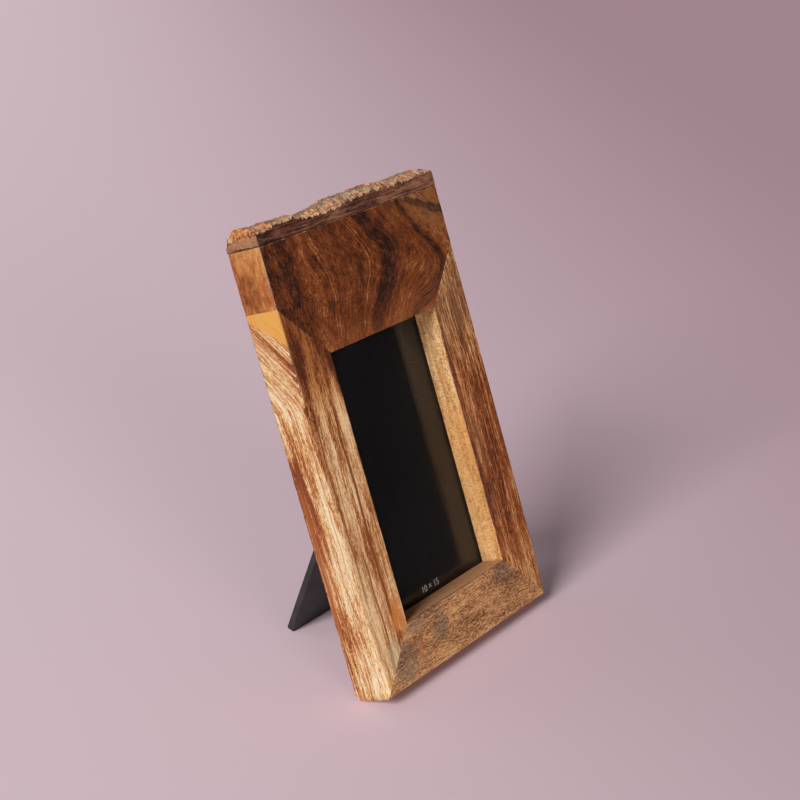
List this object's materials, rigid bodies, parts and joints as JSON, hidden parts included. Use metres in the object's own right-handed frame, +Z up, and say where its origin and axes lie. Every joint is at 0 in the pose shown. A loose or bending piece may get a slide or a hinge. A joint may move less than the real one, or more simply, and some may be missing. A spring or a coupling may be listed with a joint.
{
  "type": "easel back photo frame",
  "caption": "Portrait photo frame of mitred wooden rails with a bark-topped live edge, glass, and a backing board whose hinged leg stands it on a table.",
  "frame": {"origin": "middle of the footprint on the floor, with the leg open", "axes": "+Z up, +X to the right as seen from the front, +Y towards the back"},
  "size_m": [0.149, 0.0966, 0.2349],
  "materials": {
    "dark_plank": "satin",
    "live_edge_wood": "satin",
    "bark": "matte",
    "honey_stile": "satin",
    "russet_stile": "satin",
    "tan_rail": "satin",
    "nail_steel": "satin",
    "picture_glass": "polished",
    "insert_card": "satin",
    "board_black": "matte",
    "leg_black": "matte",
    "hinge_steel": "satin",
    "pin_steel": "satin",
    "rivet_steel": "satin",
    "screw_steel": "satin",
    "button_steel": "satin"
  },
  "bodies": {
    "surround": {"top_rail": "dark_plank", "live_edge_strip": "live_edge_wood", "bark_layer": "bark", "left_stile": "honey_stile", "right_stile": "russet_stile", "bottom_rail": "tan_rail", "mitre_v_nails": "nail_steel", "glass": "picture_glass", "photo_insert": "insert_card", "backing_board": "board_black", "hinge_board_leaf": "hinge_steel", "hinge_pin": "pin_steel", "hinge_board_rivets": "rivet_steel", "turn_button_screws": "screw_steel"},
    "leg": {"support_leg": "leg_black", "hinge_leg_leaf": "hinge_steel", "hinge_leg_rivets": "rivet_steel"},
    "turn_button_lower_left": {"turn_button_lower_left": "button_steel"},
    "turn_button_lower_right": {"turn_button_lower_right": "button_steel"},
    "turn_button_upper_left": {"turn_button_upper_left": "button_steel"},
    "turn_button_upper_right": {"turn_button_upper_right": "button_steel"}
  },
  "joints": [
    {"name": "leg_fold", "type": "hinge", "parent": "surround", "child": "leg", "pos_m": [0, 0.00961, 0.10652], "axis": [1, 0, 0], "range_deg": [-36.9, 0]},
    {"name": "turn_button_lower_left_swing", "type": "hinge", "parent": "surround", "child": "turn_button_lower_left", "pos_m": [-0.057, -0.00963, 0.05326], "axis": [0, -0.9455, 0.3256], "continuous": true},
    {"name": "turn_button_lower_right_swing", "type": "hinge", "parent": "surround", "child": "turn_button_lower_right", "pos_m": [0.057, -0.00963, 0.05326], "axis": [0, -0.9455, 0.3256], "continuous": true},
    {"name": "turn_button_upper_left_swing", "type": "hinge", "parent": "surround", "child": "turn_button_upper_left", "pos_m": [-0.057, 0.01845, 0.1348], "axis": [0, -0.9455, 0.3256], "continuous": true},
    {"name": "turn_button_upper_right_swing", "type": "hinge", "parent": "surround", "child": "turn_button_upper_right", "pos_m": [0.057, 0.01845, 0.1348], "axis": [0, -0.9455, 0.3256], "continuous": true}
  ]
}
